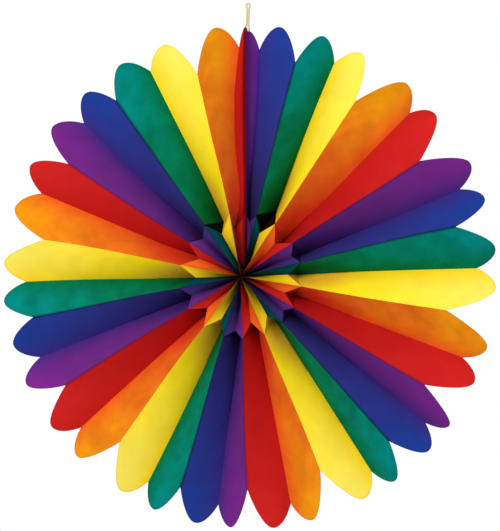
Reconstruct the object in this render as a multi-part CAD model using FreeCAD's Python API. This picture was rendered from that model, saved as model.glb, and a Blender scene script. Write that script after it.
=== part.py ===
import FreeCAD, Part
import math
import os

# Paper fan rosette, in millimetres.
# The open fan hangs in the XZ plane. Its front faces -Y and +Z is up.
# The origin is the top of the hanging loop, in the middle of the cord.
# Depths are measured from the fan's own middle plane and grow to the back.

V = FreeCAD.Vector
BACK = V(0, 1, 0)

# Leaf, one dyed paper sheet cut to a rounded tip
leaf_length = 300.0
leaf_width = 58.0
paper = 0.2
wall_depth = 0.5

# How far each leaf is opened, in degrees, clockwise from the seam at the top
opening = [
    2.5, 11.2, 8.2, 10.9, 11.7, 12.1, 10.3, 9.0, 10.6, 11.0, 10.9, 9.7,
    8.6, 8.6, 9.3, 10.4, 11.4, 9.4, 9.0, 9.2, 9.7, 10.8, 11.6, 10.6,
    10.5, 10.2, 9.7, 11.8, 11.5, 11.0, 10.3, 11.4, 10.5, 13.2, 10.7, 2.5,
]
colours = ["purple", "blue", "green", "yellow", "orange", "red"]

# How far the cut edge falls back from the tip to where two neighbours meet
fall_blue_green = 40.0
fall_yellow_orange = 54.0
fall_red_purple = 49.0
fall_valley = 23.0

# How far the tips of the two leaves at the seam stay below the circle of the other tips
seam_tip_drop = 4.0

# Ridge line, the glued front edges of two leaves, as depth at hub, at the kink and at the rim
ridge_hub_depth = 0.0
ridge_kink_radius = 75.0
ridge_kink_depth = -3.0
ridge_rim_depth = -14.0

# Seam line, the front edge of the first and last leaf, as depth at hub and at the rim
seam_hub_depth = 34.0
seam_rim_depth = -9.0

# Valley line, where two neighbours lie back to back behind the front
kite_hub_rise = 30.0
kite_radius = 56.0
kite_radius_purple_blue = 65.0
kite_depth = 5.0
pocket_run = 5.0
pocket_depth = 38.0
gaping_valleys = [3, 33]
gaping_run = 24.0
gaping_depth = 50.0
plain_valleys = [35]
valley_rim_depth = 18.0
least_flange = 1.0

# Cut edge of a leaf: how far its tip leans towards the valley side and how full its curve is
tip_lean = 0.24
tip_fullness = 0.9
cut_margin = 0.8

# End cards, face to face in the seam
card_thickness = 0.4
card_setback = 3.0
card_inner_width = 40.0
card_outer_width = 26.0

# Hanging cord, one closed loop through a hole near the tips of the end cards
cord_diameter = 2.0
strand_gap = 0.2
strand_bend = 8.0
loop_rise = 31.0
loop_hole_inset = 19.0
loop_hole_size = 2.8
cord_depth = 2.0
strand_clearance = 0.1

# Relations
notch_blue_green = leaf_length - fall_blue_green
notch_yellow_orange = leaf_length - fall_yellow_orange
notch_red_purple = leaf_length - fall_red_purple
notch_valley = leaf_length - fall_valley
seam_tip = leaf_length - seam_tip_drop
loop_hole_radius = seam_tip - loop_hole_inset
half_stack = card_thickness + paper
bend_radius = max(cord_diameter, half_stack + cord_diameter / 2 + strand_clearance)
hub = V(0, -cord_depth, -(seam_tip + loop_rise) + cord_diameter / 2)
total = sum(opening)
folds = [0.0]
for angle in opening:
    folds.append(folds[-1] + angle * 360.0 / total)
middle_opening = math.radians(360.0 / (len(opening) - 1))
narrowest = math.radians(min(opening[1:-1]) * 360.0 / total)
inner_radius = 1.2 * paper / math.sin(narrowest)
seam_width = math.sin(math.radians(min(opening[0], opening[-1]) * 360.0 / total))
seam_inner_radius = (card_thickness + 1.5 * paper) / seam_width
past_rim = 1.04 * leaf_length


def spot(fold, radius, depth, aside=0.0):
    """Point in a fold plane: azimuth from up, clockwise as seen from the front."""
    a = math.radians(fold)
    outward = V(math.sin(a), 0, math.cos(a))
    across = V(math.cos(a), 0, -math.sin(a))
    return hub + outward * radius + across * aside + BACK * depth


def between(x, x0, y0, x1, y1):
    return y0 + (y1 - y0) * (x - x0) / (x1 - x0)


def ridge_line(radius, notch):
    if radius < ridge_kink_radius:
        return between(radius, 0, ridge_hub_depth, ridge_kink_radius, ridge_kink_depth)
    return between(radius, ridge_kink_radius, ridge_kink_depth, notch, ridge_rim_depth)


def seam_line(radius):
    return between(radius, 0, seam_hub_depth, leaf_length, seam_rim_depth)


def plain_line(radius):
    """Valley without a pocket, straight from the hub to the rim."""
    return between(radius, 0, ridge_hub_depth + kite_hub_rise, notch_valley, valley_rim_depth)


def kite_line(radius, kite, depth):
    return between(radius, 0, ridge_hub_depth + kite_hub_rise, kite, depth)


def knee_line(radius, deep, depth):
    return between(radius, deep, depth, notch_valley, valley_rim_depth)


def flange_width(radius, front, panel_front):
    """What is left of the leaf's width behind the visible panel."""
    panel = math.hypot(radius * math.sin(middle_opening), front - panel_front)
    return max(least_flange, leaf_width - panel)


def wall(face):
    return face.extrude(BACK * wall_depth)


def flat(points):
    return Part.Face(Part.makePolygon(points + points[:1]))


def ruled(a0, a1, b0, b1):
    return Part.makeRuledSurface(Part.makeLine(a0, a1), Part.makeLine(b0, b1))


def plate(outline, fold, aside, thickness):
    """Flat piece in a fold plane, from a list of (radius, depth)."""
    a = math.radians(fold)
    face = flat([spot(fold, r, d, aside) for r, d in outline])
    return face.extrude(V(math.cos(a), 0, -math.sin(a)) * thickness)


def petal(ridge, valley, ridge_notch, valley_notch, tip, lean):
    """Upright prism whose far end is the cut edge of the leaf, a little wider than the leaf."""
    margin = math.copysign(cut_margin, valley - ridge)
    steps = 12
    arch = []
    for i in range(steps + 1):
        u = i / steps
        turn = math.pi * (u - lean * u * (1 - u))
        notch = ridge_notch if turn < math.pi / 2 else valley_notch
        radius = notch + (tip - notch) * max(0.0, math.sin(turn)) ** tip_fullness
        arch.append(spot(ridge + (valley - ridge) * u, radius, 0))
    first = spot(ridge - margin, ridge_notch, 0)
    last = spot(valley + margin, valley_notch, 0)
    root = spot((ridge + valley) / 2, -0.1 * leaf_length, 0)
    curve = Part.BSplineCurve()
    curve.interpolate(arch)
    edges = [
        Part.makeLine(root, first),
        Part.makeLine(first, arch[0]),
        curve.toShape(),
        Part.makeLine(arch[-1], last),
        Part.makeLine(last, root),
    ]
    face = Part.Face(Part.Wire(edges))
    face.translate(BACK * (-2 * leaf_width))
    return face.extrude(BACK * (4 * leaf_width))


def half_petal(seam, valley):
    """The same for a leaf at the seam, where only the half beside the valley shows."""
    mirrored = 2 * seam - valley
    return petal(mirrored, valley, notch_valley, notch_valley, seam_tip, 0.0)


def seam_outline(inner, inner_width, outer_width, setback):
    """Outline in the seam plane, from its front line back to a rounded outer end."""
    steps = 8
    points = [(inner, seam_line(inner) + setback)]
    for i in range(steps + 1):
        u = math.pi / 2 * i / steps
        radius = seam_tip - fall_red_purple * (1 - math.cos(u))
        width = between(math.sin(u), 0, setback, 1, outer_width)
        points.append((radius, seam_line(seam_tip) + width))
    points.append((inner, seam_line(inner) + inner_width))
    return points


def leaf(index):
    start, end = folds[index], folds[index + 1]
    starts_on_ridge = index % 2 == 0
    ridge, valley = (start, end) if starts_on_ridge else (end, start)
    side = 1.0 if ridge < valley else -1.0
    at_seam = index in (0, len(opening) - 1)
    pair = {colours[index % 6], colours[(index + (-1 if starts_on_ridge else 1)) % 6]}
    notch = notch_red_purple
    if "green" in pair:
        notch = notch_blue_green
    if "yellow" in pair and "orange" in pair:
        notch = notch_yellow_orange
    near_purple_blue = index % 6 in (0, 1)
    kite = kite_radius_purple_blue if near_purple_blue else kite_radius
    valley_number = index + 1 if starts_on_ridge else index
    gaping = valley_number in gaping_valleys
    deep = kite + (gaping_run if gaping else pocket_run)
    deep_depth = gaping_depth if gaping else pocket_depth
    near_depth = kite_depth
    if valley_number in plain_valleys:
        deep_depth = plain_line(deep)
        near_depth = plain_line(kite)
    inner = seam_inner_radius if at_seam else inner_radius
    aside = side * card_thickness if at_seam else 0.0

    def on_ridge(r):
        depth = seam_line(r) if at_seam else ridge_line(r, notch)
        return spot(ridge, r, depth, aside)

    ridge_in = on_ridge(inner)
    ridge_kink = on_ridge(ridge_kink_radius)
    ridge_out = on_ridge(past_rim)
    kite_in = kite_line(inner, kite, near_depth)
    valley_in = spot(valley, inner, kite_in)
    valley_kink = spot(valley, kite, near_depth)
    out_depth = knee_line(past_rim, deep, deep_depth)
    valley_deep = spot(valley, deep, deep_depth)
    valley_out = spot(valley, past_rim, out_depth)

    kite_facet = wall(ruled(ridge_in, ridge_kink, valley_in, valley_kink))
    pocket_wall = wall(flat([ridge_kink, valley_kink, valley_deep]))
    outer_panel = wall(ruled(ridge_kink, ridge_out, valley_deep, valley_out))

    hub_back = kite_in + flange_width(inner, kite_in, ridge_hub_depth)
    deep_back = deep_depth + flange_width(deep, deep_depth, ridge_kink_depth)
    rim_back = out_depth + least_flange
    outline = [
        (inner, kite_in),
        (kite, near_depth),
        (deep, deep_depth),
        (past_rim, out_depth),
        (past_rim, rim_back),
        (deep, deep_back),
        (inner, hub_back),
    ]
    flange = plate(outline, valley, 0.0, -side * paper)
    solid = kite_facet.fuse([pocket_wall, outer_panel, flange])
    if at_seam:
        hidden = seam_outline(ridge_kink_radius, least_flange, card_outer_width, 0.0)
        solid = solid.common(half_petal(ridge, valley))
        solid = solid.fuse(plate(hidden, ridge, aside, side * paper))
        return solid.cut(cord_hole()).removeSplitter()
    cut = petal(ridge, valley, notch, notch_valley, leaf_length, tip_lean)
    return solid.common(cut).removeSplitter()


def cord_bend_height():
    """Height of the centre of the lower bend, so that the cards hang in the cord."""
    reach = math.sqrt((bend_radius - cord_diameter / 2) ** 2 - half_stack ** 2)
    return hub.z + loop_hole_radius + loop_hole_size / 2 + reach


def cord_hole():
    reach = half_stack + strand_clearance / 2
    start = V(-reach, 0, hub.z + loop_hole_radius)
    return Part.makeCylinder(loop_hole_size / 2, 2 * reach, start, V(1, 0, 0))


def end_card(side):
    outline = seam_outline(seam_inner_radius, card_inner_width, card_outer_width, card_setback)
    return plate(outline, 0.0, 0.0, side * card_thickness).cut(cord_hole())


def strand(side, low, tip, top):
    """Edges of one strand from the lower bend up: straight past the cards, then close to its pair."""
    wide = bend_radius
    near = (cord_diameter + strand_gap) / 2
    turn = math.acos(1 - (wide - near) / (2 * strand_bend))
    run = strand_bend * math.sin(turn)

    def arcs(start, x0, x1):
        """Two equal arcs that carry the strand from x0 to x1."""
        way = math.copysign(1.0, x1 - x0)
        half = turn / 2
        first = V(x0 + way * strand_bend * (1 - math.cos(half)), 0, start + strand_bend * math.sin(half))
        a, b = V(x0, 0, start), V(x1, 0, start + 2 * run)
        middle = (a + b) * 0.5
        second = middle * 2 - first
        return [Part.Arc(a, first, middle).toShape(), Part.Arc(middle, second, b).toShape()]

    edges = [Part.makeLine(V(side * wide, 0, low), V(side * wide, 0, tip))]
    edges += arcs(tip, side * wide, side * near)
    edges.append(Part.makeLine(V(side * near, 0, tip + 2 * run), V(side * near, 0, top - 2 * run)))
    edges += arcs(top - 2 * run, side * near, side * wide)
    return edges


def hanging_cord():
    top = -bend_radius
    low = cord_bend_height()
    tip = hub.z + seam_tip + strand_clearance
    left, right = V(-bend_radius, 0, top), V(bend_radius, 0, top)
    eye = Part.Arc(left, V(0, 0, top + bend_radius), right).toShape()
    foot = Part.Arc(V(bend_radius, 0, low), V(0, 0, low - bend_radius), V(-bend_radius, 0, low)).toShape()
    edges = strand(-1.0, low, tip, top) + [eye] + strand(1.0, low, tip, top)[::-1] + [foot]
    route = Part.Wire(Part.__sortEdges__(edges))
    section = Part.Wire(Part.makeCircle(cord_diameter / 2, V(-bend_radius, 0, low), V(0, 0, 1)))
    cord = route.makePipeShell([section], True, True)
    volume = math.pi * (cord_diameter / 2) ** 2 * route.Length
    print("cord length", round(route.Length, 2), "volume ratio", round(cord.Volume / volume, 4))
    return cord


os.makedirs("parts", exist_ok=True)
nodes = {}
for number in range(len(opening)):
    name = "leaf_%02d_%s" % (number + 1, colours[number % 6])
    nodes[name] = leaf(number)
nodes["end_card_left"] = end_card(-1.0)
nodes["end_card_right"] = end_card(1.0)
nodes["hanging_cord"] = hanging_cord()

for name, shape in nodes.items():
    if len(shape.Solids) == 1:
        shape = shape.Solids[0]
    if shape.ShapeType != "Solid" or not shape.isValid():
        print("check", name, shape.ShapeType, len(shape.Solids), shape.isValid())
    shape.exportStep(os.path.join("parts", name + ".step"))
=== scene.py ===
import math

import bpy
import numpy as np
from mathutils import Matrix


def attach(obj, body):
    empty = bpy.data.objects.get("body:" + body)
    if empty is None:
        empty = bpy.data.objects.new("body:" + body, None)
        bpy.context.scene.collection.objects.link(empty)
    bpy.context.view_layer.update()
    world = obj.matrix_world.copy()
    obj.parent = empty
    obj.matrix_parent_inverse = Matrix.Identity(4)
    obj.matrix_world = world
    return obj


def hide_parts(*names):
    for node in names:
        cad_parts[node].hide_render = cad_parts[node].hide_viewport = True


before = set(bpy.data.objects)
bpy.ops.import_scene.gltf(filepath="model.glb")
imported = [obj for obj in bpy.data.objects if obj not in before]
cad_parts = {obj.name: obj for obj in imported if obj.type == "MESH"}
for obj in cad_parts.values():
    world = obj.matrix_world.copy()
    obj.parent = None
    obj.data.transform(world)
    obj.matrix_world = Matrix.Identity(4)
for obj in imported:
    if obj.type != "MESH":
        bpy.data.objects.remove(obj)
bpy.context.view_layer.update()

MM = 0.001

# Sizes of the fan in millimetres, as in the solid model. Radii start at the middle of the hub, and depths at
# the plane of the hub, towards the back.
LEAF_LENGTH = 300.0
LEAF_WIDTH = 58.0
SEAM_TIP = 296.0
CARD_THICKNESS = 0.4
PAPER = 0.2
CORD_DEPTH = 2.0
HUB = np.array([0.0, -CORD_DEPTH, -326.0])
INNER_RADIUS = 0.4
SEAM_INNER_RADIUS = 6.0

# How wide each leaf opens, clockwise from the seam at the top, in shares that add up to one turn
OPENING = [
    2.5, 11.2, 8.2, 10.9, 11.7, 12.1, 10.3, 9.0, 10.6, 11.0, 10.9, 9.7,
    8.6, 8.6, 9.3, 10.4, 11.4, 9.4, 9.0, 9.2, 9.7, 10.8, 11.6, 10.6,
    10.5, 10.2, 9.7, 11.8, 11.5, 11.0, 10.3, 11.4, 10.5, 13.2, 10.7, 2.5,
]
LEAVES = len(OPENING)
LAST = LEAVES - 1
FOLDS = [sum(OPENING[:i]) * 360.0 / sum(OPENING) for i in range(LEAVES + 1)]

# By colour: radius of the notch at the ridge and length of the kite, then the tone of the painted shade on
# the wall in the pocket, how dark the painted shade in the kite's crease is, and how dark the kite's painted
# shadow on the panel is
COLOURS = {
    "purple": dict(notch=251.0, kite=65.0, wall=0.45, crease=0.8, shadow=0.35),
    "blue": dict(notch=260.0, kite=65.0, wall=0.45, crease=0.8, shadow=0.35),
    "green": dict(notch=260.0, kite=56.0, wall=0.45, crease=0.8, shadow=0.35),
    "yellow": dict(notch=246.0, kite=56.0, wall=0.9, crease=0.45, shadow=0.1),
    "orange": dict(notch=246.0, kite=56.0, wall=0.8, crease=0.45, shadow=0.1),
    "red": dict(notch=251.0, kite=56.0, wall=0.6, crease=0.45, shadow=0.35),
}
NAMES = list(COLOURS)

# Ridge folds: they kink where the kite ends
HUB_DEPTH = 0.0
KINK_RADIUS = 75.0
KINK_DEPTH = -3.0
RIM_DEPTH = -14.0
SEAM_HUB_DEPTH = 34.0
SEAM_RIM_DEPTH = -9.0

# Valley folds: along the kite, down into the pocket, and out to the rim
KITE_RISE = 30.0
KITE_DEPTH = 5.0
POCKET_RUN = 5.0
POCKET_DEPTH = 38.0
GAPING_RUN = {3: 31.0, 33: 18.0}
GAPING_DEPTH = 50.0
PLAIN_FOLD = 35
VALLEY_NOTCH = 277.0
VALLEY_RIM_DEPTH = 18.0
BACK_EDGE_DEPTH = VALLEY_RIM_DEPTH + 1.0

# Rounded tips. The tips at the seam have their own radius and come out of the seam part way round.
TIP_ROUNDNESS = 0.9
TIP_LEAN = 0.24
SEAM_TIPS = {0: (292.0, 0.33), LAST: (296.5, 0.5)}
SEAM_NOTCH_FOLD = 1
SEAM_NOTCH_DROP = 3.0

# How much shorter a leaf ends than the others, in millimetres, and how much more it leans to its valley
TIPS = {
    2: (0.0, -0.14), 3: (1.5, -0.28), 4: (1.2, 0.2), 5: (2.7, 0.24), 6: (0.0, 0.17), 7: (0.0, -0.1),
    8: (0.0, 0.2), 9: (1.2, 0.14), 10: (0.0, 0.28), 11: (0.0, 0.14), 12: (0.0, 0.28), 14: (0.0, 0.1),
    15: (1.5, 0.2), 16: (0.8, 0.14), 18: (1.2, 0.0), 21: (0.8, 0.2), 22: (0.0, 0.2), 23: (0.0, 0.2),
    25: (1.5, 0.0), 27: (0.0, 0.3), 28: (3.0, 0.0), 29: (2.4, -0.06), 30: (1.5, -0.17), 31: (3.6, -0.1),
    32: (2.1, -0.1), 33: (4.2, 0.0),
}

# How far the folds near the seam wander sideways, at shares of the way from the kink to the rim
SWAYS = {
    0: ((0.0, 0.0), (1.0, 0.0)),
    1: ((0.0, -1.5), (0.1, -2.6), (0.2, -3.0), (0.4, -0.3), (0.6, 1.2), (0.75, 1.4), (1.0, 0.0)),
    34: ((0.0, 2.5), (0.3, 2.0), (0.6, 0.5), (1.0, 0.0)),
    35: (
        (0.0, -12.0), (0.05, -8.5), (0.1, -5.5), (0.2, -4.0), (0.36, -7.0),
        (0.6, -9.0), (0.75, -8.2), (0.9, -4.0), (1.0, -1.0),
    ),
    36: ((0.0, 0.0), (1.0, 0.0)),
}

# The same on the kites, from the hub to the kink
INNER_SWAYS = {
    1: ((0.0, 0.0), (0.25, 3.0), (0.55, 5.0), (0.85, 6.5), (1.0, 5.5)),
    35: ((0.0, 0.0), (0.25, -6.5), (0.5, -9.0), (0.85, -10.5), (1.0, -12.0)),
}

# How far any other fold wanders, as one slow bend and as one that changes sides
BEND_ASIDE = 1.7
BEND_BOTH_WAYS = 0.5

# Crown of the open panels: its height, and the share of a half wave at its start and over its length
CROWN = 2.2
CROWN_SPREAD = 1.0
SEAM_CROWN = 0.6
CROWN_START = 0.08
CROWN_LENGTH = 0.75

# Ripple on the crown: its height, and its waves in radians
RIPPLE = 0.35
RIPPLE_ALONG = 9.0
RIPPLE_ACROSS = 3.0
RIPPLE_SPREAD = 6.3

# Sheets: thickness front to back, thickness of the strips behind the folds and their distance from the fold
SHEET = 0.25
STRIP = 0.16
VALLEY_STRIP_GAP = 0.03
SEAM_STRIP_GAP = 0.02
STRIP_LEAST = 0.6

# The strip along the end card: width by the hub and by the tip, and its rounded outer end
SEAM_STRIP_AT_HUB = 5.0
SEAM_STRIP_AT_TIP = 26.0
SEAM_STRIP_END = 1.0
SEAM_STRIP_ROUND = 25.0
SEAM_STRIP_ROUND_LENGTH = 49.0

# Points across a leaf and a strip, and places of the rows along the kite, the wall and the panel
ACROSS = np.linspace(0, 1, 17)
STRIP_COLUMNS = (0.0, 0.5, 1.0)
KITE_ROWS = np.linspace(0, 1, 14)
WALL_ROWS = (0.04, 0.35, 0.65, 0.96)
PANEL_ROWS = [0.0, 0.008] + [k / 46 for k in range(1, 47)]
SEAM_STRIP_ROWS = np.linspace(0.0, 1.0, 30)

# Marks for the paper's colour: where the kite and the wall start, on a scale on which the panel is 0 to 1
KITE_MARK = -1.3
WALL_MARK = -0.3
STRIP_MARK = (0.4, 0.5)

# Painted shade and light of single walls, kites and panels that differ from the others of their colour: the
# walls of the gaping pockets are painted near black, and single kites and panels are painted darker or
# lighter
WALL_PAINTED_SHADE = {2: 0.04, 3: 0.02, 32: 0.05}
KITE_PAINTED_LIGHT_AND_SHADE = {1: 0.5, 2: 0.3, 32: 1.5}
PANEL_PAINTED_LIGHT_AND_SHADE = {1: 0.66, 34: 1.3}

# Painted shade on the kites: tone at the hub and the share of the length over which it ends, where the
# painted shade in the crease starts and how much it fades outwards, and where the listed painted light and
# shade of single kites ends
HUB_TONE = 0.2
HUB_SHADE_END = 0.28
CREASE_START = 0.4
CREASE_FADE = 0.6
KITE_TONE_CHANGE = (0.45, 0.9)

# Shares of the panel's length over which the kite's painted shadow and the listed painted light and shade of
# single panels end
SHADOW_END = 0.16
PANEL_TONE_END = 0.5

# Strips behind the folds: tone of the painted shade at the hub, and the radii between which it rises
STRIP_HUB_TONE = 0.05
STRIP_TONE_CHANGE = (5.0, 60.0)

# The leaves at the seam: tone of the painted shade at the ridge, where the leaf turns into the seam, and
# further off, painted light above the paper's colour on the purple leaf, the shares of the width between
# which it changes, and how much painted light or painted shade the kite has
SEAM_PAINTED_LIGHT_AND_SHADE = {0: (0.75, 1.55, 0.0, 0.8), LAST: (0.2, 0.88, 0.05, 0.5)}
SEAM_KITE_PAINTED_LIGHT_AND_SHADE = {0: 0.65, LAST: 1.5}


def chance(*keys):
    """A number from -1 to 1 that looks random and is the same in every run."""
    value = math.sin(sum((i + 1) * 12.9898 * (k + 1.37) for i, k in enumerate(keys))) * 43758.5453
    return 2.0 * (value - math.floor(value)) - 1.0


def lerp(a, b, t):
    return a + (b - a) * t


def smooth(low, high, x):
    """0 up to low, 1 from high on, and a soft step between them."""
    t = min(1.0, max(0.0, (x - low) / (high - low)))
    return t * t * (3 - 2 * t)


def along_table(table, v):
    places, lengths = zip(*table)
    return float(np.interp(v, places, lengths))


def outward(angle):
    """Direction of a spoke, in degrees clockwise from the top."""
    a = math.radians(angle)
    return np.array([math.sin(a), 0.0, math.cos(a)])


def clockwise(angle):
    """Direction across a spoke."""
    a = math.radians(angle)
    return np.array([math.cos(a), 0.0, -math.sin(a)])


def spot(angle, radius, depth, aside=0.0):
    return HUB + outward(angle) * radius + clockwise(angle) * aside + np.array([0.0, depth, 0.0])


class Leaf:
    """One leaf between its ridge fold and its valley fold."""

    def __init__(self, index):
        on_ridge = index % 2 == 0
        colour = NAMES[index % len(NAMES)]
        tones = COLOURS[colour]
        self.index = index
        self.name = "leaf_%02d_%s" % (index + 1, colour)
        self.paper = "paper_" + colour
        self.ridge_fold = index if on_ridge else index + 1
        self.valley_fold = index + 1 if on_ridge else index
        self.ridge = FOLDS[self.ridge_fold]
        self.valley = FOLDS[self.valley_fold]
        self.side = 1.0 if self.ridge < self.valley else -1.0
        self.seam = index in (0, LAST)
        self.notch = tones["notch"]
        self.kite = tones["kite"]
        self.deep = self.kite + GAPING_RUN.get(self.valley_fold, POCKET_RUN)
        self.deep_depth = GAPING_DEPTH if self.valley_fold in GAPING_RUN else POCKET_DEPTH
        self.near_depth = KITE_DEPTH
        if self.valley_fold == PLAIN_FOLD:
            self.deep_depth = self.plain_line(self.deep)
            self.near_depth = self.plain_line(self.kite)
        self.aside = self.side * CARD_THICKNESS if self.seam else 0.0
        self.inner = SEAM_INNER_RADIUS if self.seam else INNER_RADIUS
        self.crown = SEAM_CROWN if self.seam else CROWN + CROWN_SPREAD * chance(index, 1)
        # Painted shade on the pocket wall and in the kite's crease, and the kite's painted shadow on the
        # panel
        self.wall = WALL_PAINTED_SHADE.get(index, tones["wall"])
        self.crease = tones["crease"]
        self.shadow = tones["shadow"]

    def ridge_depth(self, radius):
        if self.seam:
            return lerp(SEAM_HUB_DEPTH, SEAM_RIM_DEPTH, radius / LEAF_LENGTH)
        if radius < KINK_RADIUS:
            return lerp(HUB_DEPTH, KINK_DEPTH, radius / KINK_RADIUS)
        return lerp(KINK_DEPTH, RIM_DEPTH, (radius - KINK_RADIUS) / (self.notch - KINK_RADIUS))

    def plain_line(self, radius):
        """Depth of a valley without a pocket."""
        return lerp(HUB_DEPTH + KITE_RISE, VALLEY_RIM_DEPTH, radius / VALLEY_NOTCH)

    def kite_line(self, radius):
        return lerp(HUB_DEPTH + KITE_RISE, self.near_depth, radius / self.kite)

    def valley_line(self, radius):
        share = (radius - self.deep) / (VALLEY_NOTCH - self.deep)
        return lerp(self.deep_depth, VALLEY_RIM_DEPTH, share)

    def sway(self, fold, v):
        """How far a fold wanders sideways between its kink and the rim."""
        if fold in SWAYS:
            return along_table(SWAYS[fold], v)
        one_way = BEND_ASIDE * chance(fold, 2) * math.sin(math.pi * v)
        both_ways = BEND_BOTH_WAYS * chance(fold, 3) * math.sin(2 * math.pi * v)
        return one_way + both_ways

    def inner_sway(self, fold, v):
        """How far a fold wanders sideways between the hub and its kink."""
        if fold in INNER_SWAYS:
            return along_table(INNER_SWAYS[fold], v)
        return self.sway(fold, 0.0) * v

    def swayed(self, point, s, v, sway):
        """A point of the leaf, moved with the folds on its two sides."""
        aside = lerp(sway(self.ridge_fold, v), sway(self.valley_fold, v), s)
        return point + clockwise((self.ridge + self.valley) / 2) * aside

    def arch(self, s):
        """Point on the cut edge, s from 0 on the ridge to 1 in the valley."""
        notch = VALLEY_NOTCH
        if self.valley_fold == SEAM_NOTCH_FOLD:
            notch -= SEAM_NOTCH_DROP
        if self.seam:
            tip, first = SEAM_TIPS[self.index]
            t = lerp(first, 1.0, s)
        else:
            shorter, lean = TIPS.get(self.index, (0.0, 0.0))
            tip = LEAF_LENGTH - shorter
            t = s - (TIP_LEAN + lean) * s * (1 - s)
            notch = self.notch if t < 0.5 else notch
        radius = notch + (tip - notch) * max(0.0, math.sin(math.pi * t)) ** TIP_ROUNDNESS
        depth = lerp(self.ridge_depth(radius), self.valley_line(radius), s)
        return spot(lerp(self.ridge, self.valley, s), radius, depth, self.aside * (1 - s))

    def rows(self):
        """Rows of (point, mark) over the kite, the wall behind it and the panel, from the hub to the tip.
        A mark is the share of the way from ridge to valley, the place along the leaf and the tone, which
        holds painted light and shade."""
        ridge_in = spot(self.ridge, self.inner, self.ridge_depth(self.inner), self.aside)
        valley_in = spot(self.valley, self.inner, self.kite_line(self.inner))
        ridge_kink = spot(self.ridge, KINK_RADIUS, self.ridge_depth(KINK_RADIUS), self.aside)
        valley_kink = spot(self.valley, self.kite, self.near_depth)
        valley_deep = spot(self.valley, self.deep, self.deep_depth)
        rows = []
        for v in KITE_ROWS:
            row = []
            for s in ACROSS:
                flat = lerp(lerp(ridge_in, ridge_kink, v), lerp(valley_in, valley_kink, v), s)
                mark = (s, v + KITE_MARK, self.kite_shade(s, v))
                row.append((self.swayed(flat, s, v, self.inner_sway), mark))
            rows.append(row)
        # The wall in the pocket carries its painted shade
        for v in WALL_ROWS:
            row = []
            for s in ACROSS:
                flat = lerp(lerp(ridge_kink, valley_kink, s), lerp(ridge_kink, valley_deep, s), v)
                near = self.swayed(flat, s, 1.0, self.inner_sway)
                far = self.swayed(flat, s, 0.0, self.sway)
                row.append((lerp(near, far, v), (s, WALL_MARK * (1 - v), self.wall)))
            rows.append(row)
        for v in PANEL_ROWS:
            row = []
            for s in ACROSS:
                flat = lerp(lerp(ridge_kink, valley_deep, s), self.arch(s), v)
                forward = np.array([0.0, -self.rise(s, v), 0.0])
                # The panel's first row takes the painted shade of the wall
                tone = self.panel_shade(s, v) if v else self.wall
                row.append((self.swayed(flat, s, v, self.sway) + forward, (s, v, tone)))
            rows.append(row)
        return rows

    def rise(self, s, v):
        """How far the crowned and rippled panel stands in front of the flat one."""
        crown = self.crown * math.sin(math.pi * min(1.0, CROWN_START + v * CROWN_LENGTH))
        start = RIPPLE_SPREAD * chance(self.index, 4)
        ripple = RIPPLE * math.sin(RIPPLE_ALONG * v + start + RIPPLE_ACROSS * s)
        return 4 * s * (1 - s) * (crown + ripple)

    def kite_shade(self, s, v):
        """Painted shade on the kite: dark in the crease and at the hub, where no light comes in, with the
        painted light and shade listed for single kites and for the kites at the seam.
        """
        crease = smooth(CREASE_START, 1.0, s) * (1 - CREASE_FADE * v)
        hub = lerp(HUB_TONE, 1.0, smooth(0.0, HUB_SHADE_END, v))
        if self.seam:
            return hub * self.seam_shade(s) * SEAM_KITE_PAINTED_LIGHT_AND_SHADE[self.index]
        own = lerp(KITE_PAINTED_LIGHT_AND_SHADE.get(self.index, 1.0), 1.0, smooth(*KITE_TONE_CHANGE, v))
        return (1 - self.crease * crease) * hub * own

    def panel_shade(self, s, v):
        """Painted shadow of the kite on the panel just behind it, with the painted light and shade listed for
        single panels and for the leaves at the seam.
        """
        tone = 1 - self.shadow * smooth(0.0, 1.0, s) * (1 - smooth(0.0, SHADOW_END, v))
        tone *= lerp(PANEL_PAINTED_LIGHT_AND_SHADE.get(self.index, 1.0), 1.0, smooth(0.0, PANEL_TONE_END, v))
        return tone * (self.seam_shade(s) if self.seam else 1.0)

    def seam_shade(self, s):
        """Painted shade across a leaf at the seam, dark where it turns into the seam, and lighter further
        off, painted light above the paper's own colour on the purple leaf.
        """
        at_seam, beyond, first, last = SEAM_PAINTED_LIGHT_AND_SHADE[self.index]
        return lerp(at_seam, beyond, smooth(first, last, s))

    def back_depth(self, radius):
        """Depth of the fold at the back, behind the valley."""
        mean = math.radians(360.0 / LAST)

        def width(at, front, panel_front):
            return max(1.0, LEAF_WIDTH - math.hypot(at * math.sin(mean), front - panel_front))

        hub_back = self.kite_line(0) + width(0, self.kite_line(0), HUB_DEPTH)
        deep_back = self.deep_depth + width(self.deep, self.deep_depth, KINK_DEPTH)
        if radius < self.deep:
            return lerp(hub_back, deep_back, radius / self.deep)
        share = (radius - self.deep) / (VALLEY_NOTCH - self.deep)
        return lerp(deep_back, BACK_EDGE_DEPTH, share)


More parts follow.
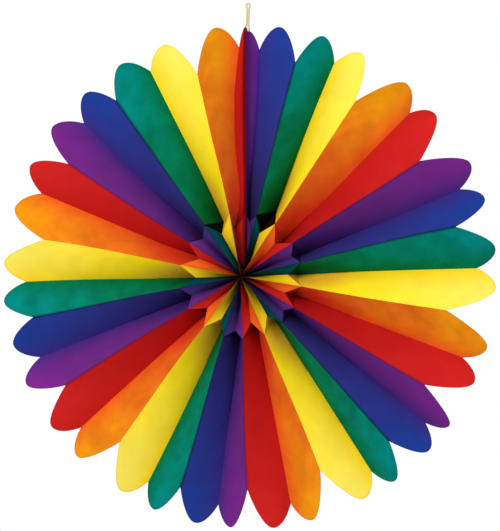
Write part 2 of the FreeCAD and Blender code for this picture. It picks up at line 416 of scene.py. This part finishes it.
def build_mesh(name, sheets):
    """Closed thin sheets: each is a grid of (point, mark) and the offset that gives it thickness."""
    points, marks, faces = [], [], []
    for grid, offset in sheets:
        rows, columns = len(grid), len(grid[0])
        base = len(points)
        count = rows * columns
        for shift in (0.0, 1.0):
            for row in grid:
                points += [tuple((p + offset * shift) * MM) for p, mark in row]
                marks += [mark for p, mark in row]

        def at(i, j, layer):
            return base + layer * count + i * columns + j

        for i in range(rows - 1):
            for j in range(columns - 1):
                faces.append((at(i, j, 0), at(i, j + 1, 0), at(i + 1, j + 1, 0), at(i + 1, j, 0)))
                faces.append((at(i, j, 1), at(i + 1, j, 1), at(i + 1, j + 1, 1), at(i, j + 1, 1)))
        rim = [(0, j) for j in range(columns - 1)]
        rim += [(i, columns - 1) for i in range(rows - 1)]
        rim += [(rows - 1, j) for j in range(columns - 1, 0, -1)]
        rim += [(i, 0) for i in range(rows - 1, 0, -1)]
        for (i, j), (m, n) in zip(rim, rim[1:] + rim[:1]):
            faces.append((at(i, j, 0), at(i, j, 1), at(m, n, 1), at(m, n, 0)))
    mesh = bpy.data.meshes.new(name)
    mesh.from_pydata(points, [], faces)
    layer = mesh.attributes.new("leaf", "FLOAT_VECTOR", "POINT")
    layer.data.foreach_set("vector", np.array(marks, dtype=np.float32).ravel())
    mesh.update()
    mesh.polygons.foreach_set("use_smooth", [True] * len(mesh.polygons))
    mesh.set_sharp_from_angle(angle=math.radians(30))
    piece = bpy.data.objects.new(name, mesh)
    bpy.context.scene.collection.objects.link(piece)
    return piece


def strip_mark(radius):
    """Mark of the strips behind the folds, with painted shade near the hub, which no light reaches."""
    return (*STRIP_MARK, lerp(STRIP_HUB_TONE, 1.0, smooth(*STRIP_TONE_CHANGE, radius)))


def valley_strip(leaf, rows):
    """The part of the leaf that lies back to back with its neighbour behind the valley."""
    inward = -leaf.side * clockwise(leaf.valley)
    strip = []
    for row in rows:
        front = row[-1][0]
        radius = math.hypot(front[0] - HUB[0], front[2] - HUB[2])
        back = front.copy()
        back[1] = HUB[1] + max(leaf.back_depth(radius), front[1] - HUB[1] + STRIP_LEAST)
        gap = inward * VALLEY_STRIP_GAP
        strip.append([(lerp(front, back, t) + gap, strip_mark(radius)) for t in STRIP_COLUMNS])
    return strip, inward * STRIP


def seam_strip(leaf):
    """The part of a leaf at the seam that lies along the end card."""
    into = leaf.side * clockwise(leaf.ridge)
    tip = leaf.arch(0.0)[2] - HUB[2]
    strip = []
    for v in SEAM_STRIP_ROWS:
        radius = lerp(leaf.inner, tip, v)
        near_tip = max(0.0, 1 - (tip - radius) / SEAM_STRIP_ROUND_LENGTH)
        rounded = SEAM_STRIP_END + SEAM_STRIP_ROUND * math.sqrt(1 - near_tip ** 2)
        width = min(lerp(SEAM_STRIP_AT_HUB, SEAM_STRIP_AT_TIP, v), rounded)
        front = spot(leaf.ridge, radius, leaf.ridge_depth(radius), leaf.aside) + into * SEAM_STRIP_GAP
        strip.append([(front + np.array([0.0, width * t, 0.0]), strip_mark(radius)) for t in STRIP_COLUMNS])
    return strip, into * STRIP


def leaf_piece(leaf):
    rows = leaf.rows()
    sheets = [(rows, np.array([0.0, SHEET, 0.0])), valley_strip(leaf, rows)]
    if leaf.seam:
        sheets.append(seam_strip(leaf))
    return build_mesh(leaf.name + "_paper", sheets)


class Shade:
    """The nodes of one material or of the world."""

    def __init__(self, owner):
        owner.use_nodes = True
        self.owner = owner
        self.tree = owner.node_tree
        self.tree.nodes.clear()

    def add(self, kind, inputs=None, out=0, **settings):
        """One node: its settings first, then the values or links of its sockets.
        It gives the output that out names, or a list of all outputs where out is None."""
        node = self.tree.nodes.new(kind)
        for key, value in settings.items():
            setattr(node, key, value)
        for key, value in (inputs or {}).items():
            if isinstance(value, Sock):
                self.tree.links.new(value.socket, node.inputs[key])
            else:
                node.inputs[key].default_value = value
        if out is None:
            return [Sock(self, output) for output in node.outputs]
        return Sock(self, node.outputs[out])

    def noise(self, place, scale, detail):
        return self.add("ShaderNodeTexNoise", {"Vector": place, "Scale": scale, "Detail": detail})

    def mix_colour(self, factor, first, second, blend="MIX"):
        """Sockets 6 and 7 of a Mix node are its colours, and its output 2 is a colour."""
        inputs = {0: factor, 6: first, 7: second}
        return self.add("ShaderNodeMix", inputs, out=2, data_type="RGBA", blend_type=blend)

    def matte(self, colour, roughness, height, bump, gloss):
        """Ends a material with a matte surface. The height of its bumps is in metres."""
        normal = self.add("ShaderNodeBump", {"Height": height, "Strength": bump, "Distance": 1.0})
        surface = self.add("ShaderNodeBsdfPrincipled", {
            "Base Color": colour,
            "Roughness": roughness,
            "Normal": normal,
            "Specular IOR Level": gloss,
        })
        self.add("ShaderNodeOutputMaterial", {"Surface": surface}, out=None)
        return self.owner


class Sock:
    """A node's output that takes the ordinary operators."""

    def __init__(self, shade, socket):
        self.shade = shade
        self.socket = socket

    def math(self, operation, first, second):
        return self.shade.add("ShaderNodeMath", {0: first, 1: second}, operation=operation)

    def __add__(self, other):
        return self.math("ADD", self, other)

    def __radd__(self, other):
        return self.math("ADD", other, self)

    def __sub__(self, other):
        return self.math("SUBTRACT", self, other)

    def __rsub__(self, other):
        return self.math("SUBTRACT", other, self)

    def __mul__(self, other):
        return self.math("MULTIPLY", self, other)

    def __rmul__(self, other):
        return self.math("MULTIPLY", other, self)

    def power(self, other):
        return self.math("POWER", self, other)

    def clamp(self):
        return self.shade.add("ShaderNodeClamp", {"Value": self})

    def ramp(self, low, high, to_low=0.0, to_high=1.0):
        return self.shade.add("ShaderNodeMapRange", {
            "Value": self, "From Min": low, "From Max": high, "To Min": to_low, "To Max": to_high})


def linear(r, g, b):
    """A colour of 0 to 255 as the shader takes it."""
    parts = (c / 255.0 for c in (r, g, b))
    return (*(c / 12.92 if c <= 0.04 else ((c + 0.055) / 1.055) ** 2.4 for c in parts), 1.0)


# Where the paper turns from its colour half way in, which is partly painted shade, to its rim's colour, in
# metres from the hub, and to its valley's colour, a painted reflection of the neighbouring leaf, as shares of
# the width, and how late that comes
RIM_CHANGE = (0.09, 0.29)
VALLEY_CHANGE = (0.45, 1.0)
CHANGE_POWER = 1.6

# Painted shade turns warmer: where the tone darkens the paper, green and blue fall faster than red
WARMTH = 1.25


def paper_material(name, rim, middle, fold, kite, near, cloudy, edge):
    """Dyed matte paper: fibre grain, clouds of watered dye, soft dents, painted shadow bands, and a colour
    and tone along the leaf that hold painted shade, shadow and reflection.
    """
    shade = Shade(bpy.data.materials.new(name))
    rim, middle, fold, kite, near = (linear(*tone) for tone in (rim, middle, fold, kite, near))

    # Where the point is: its spoke and distance from the hub, and the marks of the mesh, whose tone holds
    # painted light and shade
    place = shade.add("ShaderNodeTexCoord", out="Object")
    hub = tuple(HUB * MM)
    centre = shade.add("ShaderNodeVectorMath", {0: place, 1: hub}, operation="SUBTRACT")
    flat = shade.add("ShaderNodeVectorMath", {0: centre, 1: (1.0, 0.0, 1.0)}, operation="MULTIPLY")
    distance = shade.add("ShaderNodeVectorMath", {0: flat}, out="Value", operation="LENGTH")
    spoke = shade.add("ShaderNodeVectorMath", {0: flat}, operation="NORMALIZE")
    spoke_x, _, spoke_z = shade.add("ShaderNodeSeparateXYZ", {0: spoke}, out=None)
    leaf = shade.add("ShaderNodeAttribute", out="Vector", attribute_name="leaf")
    across, along, tone = shade.add("ShaderNodeSeparateXYZ", {0: leaf}, out=None)

    # Patterns, from large to fine, by their number in a metre. The bands lie across the leaf as painted
    # shadow bands.
    cloud = shade.noise(place, 22.0, 3.0)
    dent = shade.noise(place, 24.0, 2.0)
    mottle = shade.noise(place, 70.0, 3.0)
    fibre = shade.noise(place, 1400.0, 4.0)
    rung = shade.add("ShaderNodeCombineXYZ", {0: spoke_x * 7.0, 1: along * 9.0, 2: spoke_z * 7.0})
    band = shade.noise(rung, 1.0, 2.0)

    # Colour: half way in (partly painted shade), at the rim, along the valley (painted reflection of the
    # neighbouring leaf), just behind the kite (painted shadow, on orange a painted red reflection) and on the
    # kite (partly painted shade)
    far_out = distance.ramp(*RIM_CHANGE) + (cloud - 0.5) * (1.2 * cloudy)
    base = shade.mix_colour(far_out.clamp().power(CHANGE_POWER), middle, rim)
    in_valley = across.ramp(*VALLEY_CHANGE) + (cloud - 0.5) * (0.5 * cloudy)
    base = shade.mix_colour(in_valley.clamp().power(CHANGE_POWER) * 0.9, base, fold)
    behind_kite = across * 0.24 - along + (cloud - 0.5) * 0.2 + 0.06
    base = shade.mix_colour(behind_kite.ramp(-0.1, 0.08), base, near)
    base = shade.mix_colour(along.ramp(WALL_MARK, WALL_MARK + 0.02), kite, base)

    # Tone: clouds of uneven dye with painted shadow bands across the leaf, fibres, a painted shade line along
    # the ridge, a darker cut edge, and the painted light and shade of the mesh's mark
    dye_clouds_and_shadow_bands = (mottle * 0.3 + cloud * 0.3 + band * 0.5 - 0.55) * cloudy
    edges = across.ramp(0.0, 0.06, edge, 1.0) * along.ramp(0.985, 1.0, 1.0, 0.85)
    level = (1.0 + dye_clouds_and_shadow_bands + (fibre - 0.5) * 0.05) * edges * tone
    warm = level.power(WARMTH)
    dim = shade.add("ShaderNodeCombineColor", {0: level, 1: warm, 2: warm})
    dye_and_painted_shade = shade.mix_colour(1.0, base, dim, "MULTIPLY")

    height = fibre * 0.00003 + mottle * 0.00008 + dent * 0.0009
    return shade.matte(dye_and_painted_shade, fibre * 0.12 + 0.78, height, bump=0.55, gloss=0.03)


def card_material():
    """Plain dark card with a fine grain."""
    shade = Shade(bpy.data.materials.new("card"))
    place = shade.add("ShaderNodeTexCoord", out="Object")
    fibre = shade.noise(place, 900.0, 4.0)
    cloud = shade.noise(place, 60.0, 3.0)
    base = shade.mix_colour(fibre * 0.6 + cloud * 0.4, (0.12, 0.05, 0.07, 1.0), (0.22, 0.11, 0.12, 1.0))
    return shade.matte(base, fibre * 0.1 + 0.8, fibre * 0.00004, bump=0.5, gloss=0.2)


def cord_material():
    """Twisted cord: slanting strands as bump and as lighter and darker bands."""
    shade = Shade(bpy.data.materials.new("cord"))
    place = shade.add("ShaderNodeTexCoord", out="Object")
    twist = {"Vector": place, "Scale": 330.0, "Distortion": 1.2, "Detail": 1.0}
    strands = shade.add("ShaderNodeTexWave", twist, out=1, wave_type="BANDS", bands_direction="DIAGONAL")
    fibre = shade.noise(place, 2200.0, 3.0)
    base = shade.mix_colour(strands * 0.8 + fibre * 0.2, (0.30, 0.26, 0.11, 1.0), (0.78, 0.72, 0.42, 1.0))
    height = strands * 0.00012 + fibre * 0.00003
    return shade.matte(base, fibre * 0.1 + 0.75, height, bump=0.7, gloss=0.25)


# Each paper at the rim, half way in (partly painted shade), along its valley fold (painted reflection of the
# neighbouring leaf), on its kite (partly painted shade) and just behind the kite (painted shadow, on orange a
# painted red reflection), then how cloudy it is and how dark the painted shade line along its ridge is
PAPERS = {
    "purple": ((111, 35, 126), (92, 38, 113), (64, 40, 124), (90, 38, 114), (72, 36, 112), 0.35, 0.6),
    "blue": ((27, 55, 138), (46, 44, 117), (58, 42, 126), (56, 40, 104), (50, 44, 112), 0.35, 0.4),
    "green": ((0, 120, 118), (0, 109, 77), (0, 100, 46), (0, 62, 68), (0, 98, 52), 1.0, 0.4),
    "yellow": ((240, 220, 88), (255, 220, 10), (255, 210, 14), (220, 184, 24), (250, 190, 42), 0.3, 1.0),
    "orange": ((220, 142, 11), (215, 91, 26), (219, 85, 27), (218, 91, 27), (220, 60, 28), 0.75, 1.0),
    "red": ((195, 33, 31), (173, 24, 24), (179, 29, 22), (176, 31, 27), (172, 24, 24), 0.3, 0.7),
}
papers = {}
for colour, tones in PAPERS.items():
    papers["paper_" + colour] = paper_material("paper_" + colour, *tones)

for index in range(LEAVES):
    leaf = Leaf(index)
    piece = leaf_piece(leaf)
    piece.data.materials.append(papers[leaf.paper])
    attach(piece, "root")
    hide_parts(leaf.name)

card = card_material()
for name in ("end_card_left", "end_card_right"):
    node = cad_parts[name]
    node.data.materials.clear()
    node.data.materials.append(card)

# The hanging cord, in millimetres: bends of one radius round the hole's rim and at the eye, and two strands
# that run close together between them
CORD_DIAMETER = 2.0
STRAND_GAP = 0.2
STRAND_BEND = 8.0
BEND = 2.0
HOLE_RADIUS = SEAM_TIP - 19.0
HOLE_SIZE = 2.8
NEAR = (CORD_DIAMETER + STRAND_GAP) / 2
TOP = -BEND
INSIDE_BEND = BEND - CORD_DIAMETER / 2
LOW = HUB[2] + HOLE_RADIUS + HOLE_SIZE / 2 + math.sqrt(INSIDE_BEND ** 2 - (CARD_THICKNESS + PAPER) ** 2)
TIP = HUB[2] + SEAM_TIP + 0.1
TURN = math.acos(1 - (BEND - NEAR) / (2 * STRAND_BEND))
RUN = STRAND_BEND * math.sin(TURN)
STRAIGHT_STEPS = 3
TURN_STEPS = 4
LOW_STEPS = 8
EYE_STEPS = 16


def strand(side):
    """One strand from the lower bend up: past the cards, close to its pair, and apart for the eye."""
    points = [(side * BEND, lerp(LOW, TIP, k / STRAIGHT_STEPS)) for k in range(STRAIGHT_STEPS + 1)]
    for start, x0, x1 in ((TIP, BEND, NEAR), (TOP - 2 * RUN, NEAR, BEND)):
        way = math.copysign(STRAND_BEND, x1 - x0)
        for k in range(1, TURN_STEPS + 1):
            a = TURN * k / TURN_STEPS
            points.append((side * (x0 + way * (1 - math.cos(a))), start + STRAND_BEND * math.sin(a)))
        end = start + 2 * RUN
        for k in range(TURN_STEPS - 1, -1, -1):
            a = TURN * k / TURN_STEPS
            points.append((side * (x1 - way * (1 - math.cos(a))), end - STRAND_BEND * math.sin(a)))
    return points


def bend_point(angle, height):
    return BEND * math.cos(angle), height + BEND * math.sin(angle)


def cord_route():
    """The closed loop from the lowest point, as points in the plane of the seam."""
    route = [bend_point(-math.pi / 2 * (1 + k / LOW_STEPS), LOW) for k in range(LOW_STEPS + 1)]
    route += strand(-1.0)[1:]
    route += [bend_point(math.pi * (1 - k / EYE_STEPS), TOP) for k in range(1, EYE_STEPS)]
    route += strand(1.0)[::-1]
    route += [bend_point(-math.pi / 2 * k / LOW_STEPS, LOW) for k in range(1, LOW_STEPS + 1)]
    return [(x * MM, 0.0, z * MM) for x, z in route]


route = cord_route()
curve = bpy.data.curves.new("cord_loop", "CURVE")
curve.dimensions = "3D"
curve.bevel_depth = CORD_DIAMETER / 2 * MM
curve.bevel_resolution = 6
spline = curve.splines.new("NURBS")
spline.points.add(len(route) - 1)
for point, place in zip(spline.points, route):
    point.co = (*place, 1.0)
spline.order_u = 3
spline.use_endpoint_u = True
spline.resolution_u = 4
cord = bpy.data.objects.new("cord_loop", curve)
bpy.context.scene.collection.objects.link(cord)
curve.materials.append(cord_material())
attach(cord, "root")
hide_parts("hanging_cord")
straight = (TIP - LOW) + (TOP - TIP - 4 * RUN)
cord_length = (2 * straight + 8 * STRAND_BEND * TURN + 2 * math.pi * BEND) * MM

# World: white where the camera looks past the fan, softer as light
WHITE = (1.0, 1.0, 1.0, 1.0)
SOFT_LIGHT = 0.55
world = bpy.data.worlds.new("studio")
bpy.context.scene.world = world
shade = Shade(world)
seen = shade.add("ShaderNodeLightPath", out="Is Camera Ray")
soft = shade.add("ShaderNodeBackground", {"Color": WHITE, "Strength": SOFT_LIGHT})
white = shade.add("ShaderNodeBackground", {"Color": WHITE, "Strength": 1.0})
blend = shade.add("ShaderNodeMixShader", {0: seen, 1: soft, 2: white})
shade.add("ShaderNodeOutputWorld", {"Surface": blend}, out=None)

# Camera: right of the fan's own axis and a little below it. A pixel's size and the distance are in
# millimetres, at the hub.
AZIMUTH = math.radians(11.24)
ELEVATION = math.radians(-0.8)
LEAN = math.radians(1.6)
DISTANCE = 1500.0
PIXEL = 1.191
SHIFT_X = -9.6 * PIXEL
SHIFT_Y = -10.9 * PIXEL
SENSOR = 36.0
PHOTO_HEIGHT = 531.0


def place_facing(thing, right, up, back, eye):
    """Puts a camera or lamp at a point, looking against back."""
    pose = Matrix.Identity(4)
    for i in range(3):
        pose[i][0], pose[i][1], pose[i][2], pose[i][3] = right[i], up[i], back[i], eye[i]
    thing.matrix_world = pose


yaw = -AZIMUTH
roll = np.array([
    [math.cos(LEAN), math.sin(LEAN), 0],
    [-math.sin(LEAN), math.cos(LEAN), 0],
    [0, 0, 1],
])
turn = np.array([
    [math.cos(yaw), 0, math.sin(yaw)],
    [0, 1, 0],
    [-math.sin(yaw), 0, math.cos(yaw)],
])
tilt = np.array([
    [1, 0, 0],
    [0, math.cos(ELEVATION), -math.sin(ELEVATION)],
    [0, math.sin(ELEVATION), math.cos(ELEVATION)],
])
right, up, back = (np.array([row[0], -row[2], row[1]]) for row in tilt @ turn @ roll)
camera_data = bpy.data.cameras.new("camera")
camera_data.sensor_width = SENSOR
camera_data.lens = SENSOR * DISTANCE / PIXEL / PHOTO_HEIGHT
camera = bpy.data.objects.new("camera", camera_data)
bpy.context.scene.collection.objects.link(camera)
place_facing(camera, right, up, back, (HUB + back * DISTANCE - right * SHIFT_X - up * SHIFT_Y) * MM)
bpy.context.scene.camera = camera


def lamp(name, place, size, power, colour):
    """A square area lamp that faces the hub."""
    data = bpy.data.lights.new(name, "AREA")
    data.size = size
    data.energy = power
    data.color = colour
    thing = bpy.data.objects.new(name, data)
    bpy.context.scene.collection.objects.link(thing)
    way = HUB * MM - np.array(place)
    way = way / np.linalg.norm(way)
    side = np.cross(way, (0, 0, 1.0))
    side = side / np.linalg.norm(side)
    place_facing(thing, side, np.cross(side, way), -way, place)
    return thing


lamp("key", place=(-0.5, -1.85, 0.15), size=0.9, power=30.5, colour=(1.0, 0.985, 0.96))
lamp("fill", place=(1.4, -1.6, 0.2), size=1.2, power=6.5, colour=(0.97, 0.985, 1.0))
rear = lamp("back", place=(0.5, 1.9, 0.2), size=1.2, power=22.0, colour=(1.0, 1.0, 1.0))
rear.visible_camera = False

bpy.context.scene.view_settings.view_transform = "Standard"
